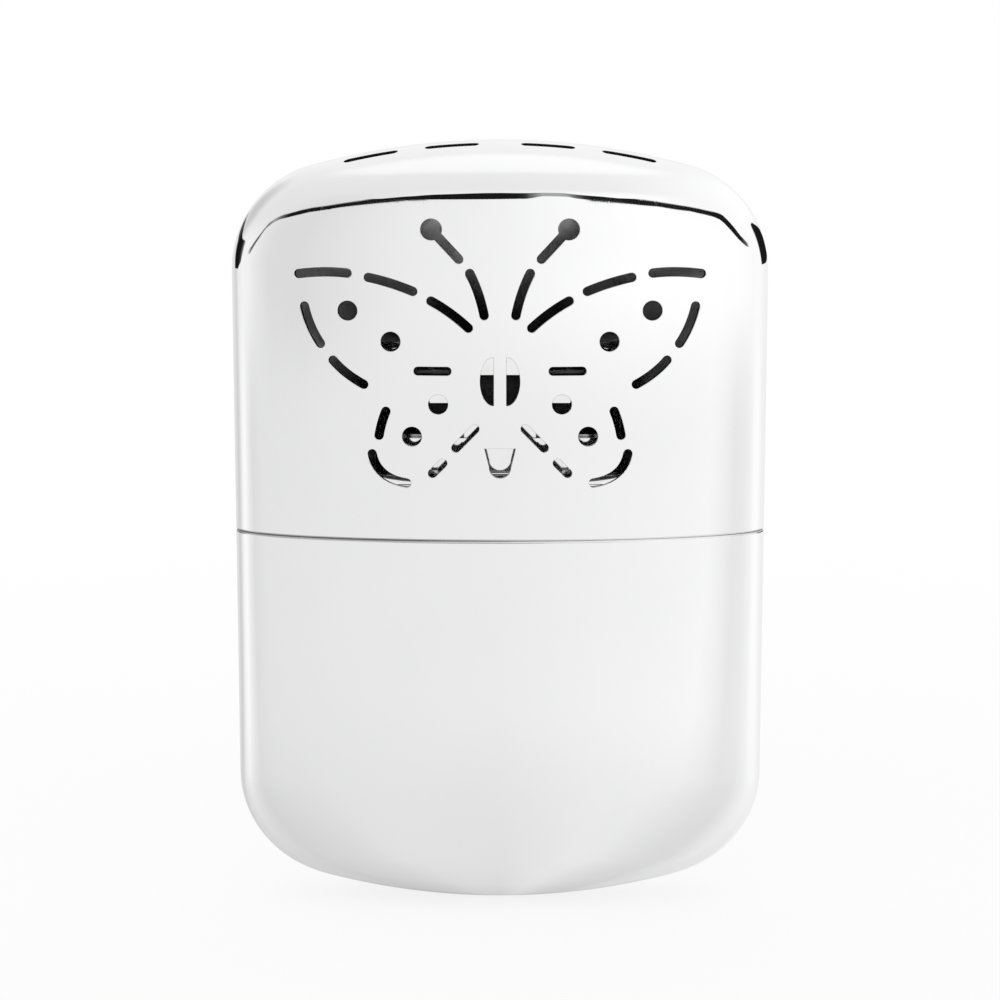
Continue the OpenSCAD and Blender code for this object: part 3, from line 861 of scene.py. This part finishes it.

# %% [markdown]
# ## Metal finishes
# All the metal is one recipe with other numbers. Haze and rubbing marks change colour and roughness a
# little. A dark, dull overlay is laid over them and hides the mirror below it: painted shade at the joint, and
# soot with painted shade inside the lid.


# %% Metal finishes
def metal(
    name, colour, worn_colour, smooth, dull, haze_size, haze_amount, fineness, bump=0.004, shade_overlay=None, **values
):
    """Metal whose colour and roughness drift with handling haze and fine rubbing marks.

    The optional overlay group is the painted joint shade or the soot with painted shade, with values for its
    inputs: its first output darkens the colour and dulls the surface.
    """
    material, tree, shader = new_material(name)
    shader.inputs["Metallic"].default_value = 1.0
    place = add(tree, "ShaderNodeTexCoord")
    haze = add(tree, "ShaderNodeGroup", node_tree=haze_group)
    haze.inputs["Size"].default_value = haze_size
    haze.inputs["Amount"].default_value = haze_amount
    marks = add(tree, "ShaderNodeGroup", node_tree=rubbing_group)
    marks.inputs["Fineness"].default_value = fineness
    for effect in (haze, marks):
        tree.links.new(place.outputs["Object"], effect.inputs["Vector"])
    tint = add(tree, "ShaderNodeMix", data_type="RGBA", in_6=(*colour, 1), in_7=(*worn_colour, 1))
    tree.links.new(haze.outputs["Haze"], tint.inputs[0])
    worn = math_node(tree, "MULTIPLY", marks.outputs["Marks"], 0.35)
    worn = math_node(tree, "MAXIMUM", worn, haze.outputs["Haze"])
    rough = add(tree, "ShaderNodeMapRange", in_3=smooth, in_4=dull, in_0=worn)
    colour_out, rough_out = tint.outputs[2], rough.outputs[0]
    if shade_overlay:
        over = add(tree, "ShaderNodeGroup", node_tree=shade_overlay, in_Vector=place.outputs["Object"])
        for key, value in values.items():
            over.inputs[key].default_value = value
        # Dark overlay colour: painted shade at the joint, soot with painted shade inside the lid.
        darkened = add(tree, "ShaderNodeMix", data_type="RGBA", in_7=(0.03, 0.029, 0.028, 1), in_0=over.outputs[0])
        tree.links.new(colour_out, darkened.inputs[6])
        colour_out, rough_out = darkened.outputs[2], blend(tree, over.outputs[0], rough_out, 0.6)
    tree.links.new(colour_out, shader.inputs["Base Color"])
    tree.links.new(rough_out, shader.inputs["Roughness"])
    relief = add(tree, "ShaderNodeBump", in_Strength=bump, in_Distance=0.00005, in_Height=marks.outputs["Marks"])
    tree.links.new(relief.outputs[0], shader.inputs["Normal"])
    return material


# Outside plate: painted shade along the joint line, weaker to the right.
bright_plate = metal(
    "bright_plate", (0.93, 0.93, 0.935), (0.88, 0.885, 0.89), 0.02, 0.075, 55, 0.5, 1400,
    shade_overlay=joint_shade_group, Reach=0.00032, Amount=0.5, Wiped=0.9,
)
neck_plate = metal("neck_plate", (0.92, 0.92, 0.925), (0.86, 0.86, 0.86), 0.05, 0.2, 90, 1, 1400)
# Shoulder: painted shade where it sits under the joint.
seat_plate = metal(
    "seat_plate", (0.92, 0.92, 0.925), (0.86, 0.86, 0.86), 0.04, 0.14, 90, 1, 1400,
    shade_overlay=joint_shade_group, Reach=0.0004, Amount=0.6,
)
# Inside of the lid: soot with painted shade, darkest round the burner.
inner_plate = metal(
    "inner_plate", (0.7, 0.7, 0.7), (0.4, 0.4, 0.39), 0.22, 0.42, 150, 1.8, 900,
    shade_overlay=soot_and_shade_group, Near=0.004, Far=0.0175,
)
# Inside of the tank: painted shade at the joint.
tank_inside = metal(
    "tank_inside", (0.6, 0.6, 0.6), (0.4, 0.4, 0.4), 0.3, 0.5, 130, 1.4, 900, shade_overlay=joint_shade_group, Amount=0.75
)
cut_edge = metal("cut_edge", (0.13, 0.13, 0.13), (0.08, 0.08, 0.08), 0.25, 0.4, 300, 1.0, 2000)
burner_plate = metal("burner_plate", (0.92, 0.92, 0.92), (0.8, 0.77, 0.72), 0.05, 0.16, 130, 0.8, 1200)
dull_steel = metal("dull_steel", (0.52, 0.52, 0.53), (0.38, 0.37, 0.36), 0.25, 0.45, 200, 1.2, 900, bump=0.02)
print("metal finishes", [m.name for m in bpy.data.materials])

# %% [markdown]
# ## Fibre finishes
# Wadding and mat are matt. A fine stretched noise gives the strands and a larger one the tufts, in colour
# and in relief.


# %% Fibre finishes
def fibre(name, light, dark, grain, bump):
    """Matted fibres: fine stretched noise for the strands, larger noise for the tufts."""
    material, tree, shader = new_material(name)
    shader.inputs["Roughness"].default_value = 0.9
    shader.inputs["Sheen Weight"].default_value = 0.3
    place = add(tree, "ShaderNodeTexCoord")
    tufts = add(tree, "ShaderNodeTexNoise", in_Scale=grain * 0.3, in_Detail=4.0)
    strands = add(
        tree, "ShaderNodeTexNoise", in_Scale=grain * 2, in_Detail=6.0, in_Roughness=0.75, in_Distortion=2.0
    )
    for noise in (tufts, strands):
        tree.links.new(place.outputs["Object"], noise.inputs["Vector"])
    part = math_node(tree, "MULTIPLY", tufts.outputs["Fac"], 0.5)
    both = math_node(tree, "MULTIPLY_ADD", strands.outputs["Fac"], 0.6, part)
    spread = add(tree, "ShaderNodeMapRange", in_1=0.35, in_2=0.75, in_0=both)
    tint = add(tree, "ShaderNodeMix", data_type="RGBA", in_6=(*dark, 1), in_7=(*light, 1), in_0=spread.outputs[0])
    tree.links.new(tint.outputs[2], shader.inputs["Base Color"])
    relief = add(tree, "ShaderNodeBump", in_Strength=bump, in_Distance=0.0004, in_Height=both)
    tree.links.new(relief.outputs[0], shader.inputs["Normal"])
    return material


cotton = fibre("cotton_wadding", (0.9, 0.89, 0.85), (0.66, 0.64, 0.58), 900, 0.6)
catalyst = fibre("catalyst_fibre", (0.09, 0.09, 0.09), (0.015, 0.015, 0.016), 1100, 0.8)


# %% [markdown]
# ## Dressing the pieces
# Every piece gets its finish by name. The two shells have three: bright outside, duller inside, and the
# cut walls of the vents.


# %% Dress every piece
def dress(piece, *materials):
    """Gives a new mesh its materials in slot order. Clearing the slots would also reset every face to
    the first one, so they are only added to."""
    for material in materials:
        piece.data.materials.append(material)


dress(lid, bright_plate, inner_plate, cut_edge)
dress(tank, bright_plate, tank_inside, cut_edge)
dress(shoulder, seat_plate)
dress(neck, neck_plate)
for piece in (burner_base, burner_cover):
    dress(piece, burner_plate)
for piece in (screen, retainer, *springs, *rivets):
    dress(piece, dull_steel)
for piece in (plug, *packs):
    dress(piece, cotton)
dress(mat, catalyst)

# %% [markdown]
# ## Studio
# A mirror shows its surroundings, so the studio makes the picture. The room is white all round. A narrow
# dark gap runs round it just above the horizon, where the table ends and the light tent begins: the top
# of the shell shows it as one thin dark line. The table carries painted light, paler to the right, as under a side
# window.


# %% Room
def ramp(tree, stops):
    """Ramp with the given (place, value) stops."""
    node = add(tree, "ShaderNodeValToRGB")
    elements = node.color_ramp.elements
    while len(elements) > 1:
        elements.remove(elements[-1])
    elements[0].position, elements[0].color = stops[0][0], (stops[0][1],) * 3 + (1,)
    for place, value in stops[1:]:
        made = elements.new(place)
        made.color = (value,) * 3 + (1,)
    return node


def curve_node(tree, places, values):
    """Curve through (place, value) pairs, all between nothing and one, with straight runs between them."""
    node = add(tree, "ShaderNodeFloatCurve")
    points = node.mapping.curves[0].points
    while len(points) < len(places):
        points.new(0.5, 0.5)
    for point, place, value in zip(points, places, values):
        point.location = (place, value)
        point.handle_type = "VECTOR"
    node.mapping.update()
    return node


# Light from the side at each turn away from the front, in degrees: a window to the right, a dim room to
# the left. On the table it is painted light: NEAR is the table by the foot, MID the table further out, FAR its
# rim; FAR is also the tent above it.
NEAR = [
    (-180, 0.68), (-120, 0.72), (-105, 0.7), (-95, 0.8), (-87, 0.84), (-74, 0.72), (-60, 0.74), (-48, 0.77),
    (-39, 0.81), (-26, 0.82), (-8, 0.81), (0, 0.81), (14, 0.85), (24, 0.88), (35, 0.88), (45, 0.83), (58, 0.78),
    (67, 0.78), (78, 0.93), (88, 1.02), (108, 0.95), (180, 0.68),
]
MID = [
    (-180, 0.86), (-126, 0.78), (-108, 0.66), (-100, 0.8), (-94, 0.97), (-86, 1.05), (-79, 0.91), (-71, 0.78),
    (-60, 0.83), (-37, 0.85), (-25, 0.87), (0, 0.895), (14, 0.935), (23, 0.955), (33, 0.975), (43, 1.0),
    (50, 0.94), (57, 0.86), (66, 0.88), (76, 0.95), (84, 1.05), (92, 1.06), (110, 0.95), (180, 0.86),
]
FAR = [
    (-180, 0.9), (-126, 0.8), (-108, 0.7), (-98, 0.9), (-83, 0.97), (-72, 0.94), (-64, 0.87), (-51, 0.77),
    (-36, 0.76), (-25, 0.82), (-14, 0.9), (-5, 0.935), (0, 0.96), (5, 1.0), (14, 1.05), (23, 1.08), (45, 1.08),
    (57, 1.07), (73, 1.03), (88, 1.04), (110, 0.97), (180, 0.9),
]


def make_side_light():
    """Brightness round the room: the turn of a direction about the upright axis, read off three ramps
    that are blended by the reach from the warmer in metres."""
    tree, given, out = group_with("side_light", {"Direction": None, "Reach": 9.0}, ["Level", "Turn"])
    parts = add(tree, "ShaderNodeSeparateXYZ", in_0=given.outputs["Direction"])
    front = math_node(tree, "MULTIPLY", parts.outputs[1], -1.0)
    turn = math_node(tree, "ARCTAN2", parts.outputs[0], front)
    turn = math_node(tree, "MULTIPLY_ADD", turn, 0.5 / math.pi, 0.5)
    rings = []
    for stops in (NEAR, MID, FAR):
        ring = ramp(tree, [(d / 360 + 0.5, v / 1.1) for d, v in stops])
        tree.links.new(turn, ring.inputs[0])
        rings.append(math_node(tree, "MULTIPLY", ring.outputs[0], 1.1))
    level = rings[0]
    for ring, start, full in ((rings[1], 0.03, 0.13), (rings[2], 0.38, 0.8)):
        level = blend(tree, smooth_step(tree, given.outputs["Reach"], start, full), level, ring)
    tree.links.new(level, out.inputs["Level"])
    tree.links.new(turn, out.inputs["Turn"])
    return tree


side_light = make_side_light()

# The dark gap: turn from the front, lower and upper edge in degrees above the horizon, darkness
DARK_GAP = [
    (-180, 8, 9, 0), (-149, 9, 12, 0), (-143, 8.5, 13.5, 0.8), (-125, 7, 15.5, 0.9), (-114, -5, 14, 1),
    (-108, -5.5, 12, 1), (-102, -5, 10.8, 1), (-96, -2.8, 10.5, 1), (-90, -0.6, 10, 0.9), (-86, 6, 9, 0),
    (-76, 2.5, 4.4, 0), (-71.5, 3.2, 6.5, 0.9), (-65, 9, 11.7, 0.85), (-61.8, 13.4, 16, 0.75),
    (-57.5, 15, 17.3, 0.55), (-54, 15.3, 17.4, 0.84), (-50, 14.6, 16.6, 1), (-45, 13.5, 15.7, 1),
    (-40, 12.3, 14.2, 1), (-35, 10.3, 11.9, 1), (-30, 8.2, 9.6, 1), (-25, 5.6, 6.9, 1), (-21, 3.4, 4.9, 1),
    (-17.5, 1.45, 4.9, 1), (-16, 0.7, 5.4, 1), (-14.6, -0.1, 5.5, 1), (-13.1, -0.88, 7.2, 1),
    (-11.7, -1.45, 8.1, 1), (-10.4, -1.95, 8.3, 1), (-7.7, -2.9, 9, 1), (-5, -3.4, 9.9, 1), (-2.5, -3.7, 10.8, 1),
    (0, -3.5, 11, 1), (3, -2.88, 10.6, 1), (4.6, -2.59, 10.8, 0.97), (5.4, -1.78, 11.3, 0.85),
    (6.5, 2.74, 12.3, 0.6), (9, 2.77, 12.3, 0.6), (11, 2.75, 12.5, 0.6), (12, 1.5, 10.1, 0.8),
    (13.2, -0.3, 8.9, 0.92), (14.6, -0.12, 7.4, 1), (16, 0.6, 6.6, 1), (18, 1.69, 5.7, 1), (21, 3.4, 5.5, 1),
    (25, 5.6, 7.3, 1), (30, 8.4, 10.2, 1), (35, 10.5, 12.6, 1), (40, 12.7, 14.8, 1), (45, 14, 16.5, 1),
    (50, 15.1, 17.8, 1), (54, 15.1, 18.8, 1), (56.5, 12.7, 19.2, 1), (59, 10.2, 19, 1),
    (61.5, 8.4, 15.7, 1), (64.5, 7.2, 11.5, 1), (68, 6.2, 9.5, 0.94), (71, 6, 8, 0.8), (73, 6, 8, 0),
    (95, 9, 15, 0), (98, -2, 18.5, 1), (108, -2, 18.8, 1), (122, -2, 15, 1), (132, -2, 11.7, 1),
    (144, -2, 6.9, 1), (150, -2, 2.6, 1), (152, -3, 3, 0), (180, -3, 3, 0),
]


def build_room():
    """World: white to the camera; to metal a white tent with the dark gap; plain light to the rest."""
    world = bpy.data.worlds.new("studio")
    bpy.context.scene.world = world
    world.use_nodes = True
    tree = world.node_tree
    tree.nodes.clear()
    out = add(tree, "ShaderNodeOutputWorld")
    ray = add(tree, "ShaderNodeTexCoord")
    parts = add(tree, "ShaderNodeSeparateXYZ", in_0=ray.outputs["Generated"])
    side = add(tree, "ShaderNodeGroup", node_tree=side_light, in_0=ray.outputs["Generated"])
    height = math_node(tree, "ARCSINE", parts.outputs[2])
    height = math_node(tree, "MULTIPLY", height, 180 / math.pi)
    # Roof: paler towards the back, the window side and straight above
    roof = math_node(tree, "MULTIPLY_ADD", parts.outputs[1], 0.055, 0.925)
    roof = math_node(tree, "MULTIPLY_ADD", parts.outputs[0], 0.09, roof)
    roof = math_node(tree, "ADD", roof, smooth_step(tree, parts.outputs[0], 0.2, 0.8, high=0.07))
    roof = math_node(tree, "ADD", roof, smooth_step(tree, parts.outputs[2], 0.86, 0.97, high=0.12))
    # The corner of the room behind the left shoulder of the warmer is dimmer
    toward = vector_node(tree, "DOT_PRODUCT", ray.outputs["Generated"], (-0.82, 0.45, 0.35))
    dim = smooth_step(tree, toward.outputs["Value"], 0.86, 1.0, high=0.25)
    roof = math_node(tree, "SUBTRACT", roof, dim)
    tent = blend(tree, smooth_step(tree, height, 8.0, 24.0), side.outputs["Level"], roof)
    # Dark gap between its two edges
    places = [g[0] / 360 + 0.5 for g in DARK_GAP]
    edges = []
    for at in (1, 2):
        edge = curve_node(tree, places, [(g[at] + 10) / 30 for g in DARK_GAP])
        tree.links.new(side.outputs["Turn"], edge.inputs[1])
        edges.append(math_node(tree, "MULTIPLY_ADD", edge.outputs[0], 30.0, -10.0))
    dark = curve_node(tree, places, [g[3] for g in DARK_GAP])
    tree.links.new(side.outputs["Turn"], dark.inputs[1])
    over = math_node(tree, "SUBTRACT", height, edges[0])
    under = math_node(tree, "SUBTRACT", edges[1], height)
    within = dark.outputs[0]
    for distance, blur in ((over, 0.05), (under, 0.3)):
        within = math_node(tree, "MULTIPLY", within, smooth_step(tree, distance, -blur, blur))
    keep = math_node(tree, "MULTIPLY_ADD", within, -0.99, 1.0)
    mirrored = math_node(tree, "MULTIPLY", tent, keep)
    path = add(tree, "ShaderNodeLightPath")
    sees = math_node(tree, "MAXIMUM", path.outputs["Is Glossy Ray"], path.outputs["Is Transmission Ray"])
    final = blend(tree, path.outputs["Is Camera Ray"], blend(tree, sees, 0.95, mirrored), 1.0)
    light = add(tree, "ShaderNodeBackground", in_Color=(1, 1, 1, 1), in_Strength=final)
    tree.links.new(light.outputs[0], out.inputs[0])


build_room()

# %% [markdown]
# ## Table
# The table is one large pale sheet. The camera sees it white with the soft shadow of the warmer. The
# polished plate sees painted light on it, paler from the side, with a painted shadow close to the foot.


# %% Table
def build_table():
    """Round sheet: white with a soft shadow to the camera; metal sees painted light from the side light ramps and
    a painted shadow by the foot.
    """
    turn = np.linspace(0, 2 * math.pi, 128, endpoint=False)
    rim = np.stack([1.2 * np.cos(turn), 1.2 * np.sin(turn), 0 * turn], 1)
    mesh = bpy.data.meshes.new("table")
    mesh.from_pydata(rim.tolist(), [], [list(range(len(rim)))])
    table = new_object("table", mesh)
    material = bpy.data.materials.new("table_painted_light")
    material.use_nodes = True
    tree = material.node_tree
    tree.nodes.clear()
    out = add(tree, "ShaderNodeOutputMaterial")
    place = add(tree, "ShaderNodeTexCoord")
    reach = vector_node(tree, "LENGTH", place.outputs["Object"]).outputs["Value"]
    side = add(tree, "ShaderNodeGroup", node_tree=side_light, in_0=place.outputs["Object"], in_Reach=reach)
    # Painted shadow: darker in a long strip under the foot, where the warmer shades the table
    shadow_strip = vector_node(tree, "MULTIPLY", place.outputs["Object"], (0.15, 1, 1))
    off = vector_node(tree, "LENGTH", shadow_strip.outputs[0])
    foot = ramp(tree, [(0, 0.42), (0.0015, 0.5), (0.003, 0.74), (0.005, 0.91), (0.012, 0.97), (0.03, 1.0)])
    tree.links.new(off.outputs["Value"], foot.inputs[0])
    level = math_node(tree, "MULTIPLY", side.outputs["Level"], foot.outputs[0])
    diffuse = add(tree, "ShaderNodeBsdfDiffuse", in_Color=(0.96, 0.96, 0.96, 1))
    white = add(tree, "ShaderNodeEmission", in_Color=(1, 1, 1, 1), in_Strength=1.0)
    # Painted light: metal sees this glow on the table in place of light from the side.
    pool = add(tree, "ShaderNodeEmission", in_Color=(1, 1, 1, 1), in_Strength=level)
    path = add(tree, "ShaderNodeLightPath")
    bleached = math_node(tree, "MULTIPLY", path.outputs["Is Camera Ray"], smooth_step(tree, reach, 0.05, 0.3, 0.8))
    seen = add(tree, "ShaderNodeMixShader", in_0=bleached, in_1=diffuse.outputs[0], in_2=white.outputs[0])
    mirrored = add(tree, "ShaderNodeMixShader", in_0=path.outputs["Is Glossy Ray"], in_1=seen.outputs[0])
    tree.links.new(pool.outputs[0], mirrored.inputs[2])
    tree.links.new(mirrored.outputs[0], out.inputs[0])
    dress(table, material)
    return table


table = build_table()

# %% [markdown]
# ## Camera
# The camera stands where the photograph was taken from. It looks down on the warmer by about eleven
# degrees from a little under forty centimetres, which is what the curve of the joint line asks for.


# %% Camera
def build_camera():
    """Camera fitted to the photograph: distance, pitch, focal length and a small upward shift."""
    distance, pitch, aim = 379.0, math.radians(10.88), 49.35
    data = bpy.data.cameras.new("camera")
    data.sensor_width = 36.0
    data.sensor_fit = "HORIZONTAL"
    data.lens = 104.27
    data.shift_y = 0.0295
    data.clip_start = 0.01
    data.clip_end = 20
    camera = new_object("camera", data)
    camera.location = Vector((0, -distance * math.cos(pitch), aim + distance * math.sin(pitch))) * MM
    camera.rotation_euler = (math.pi / 2 - pitch, 0, 0)
    bpy.context.scene.camera = camera
    return camera


camera = build_camera()
bpy.context.scene.view_settings.view_transform = "Standard"
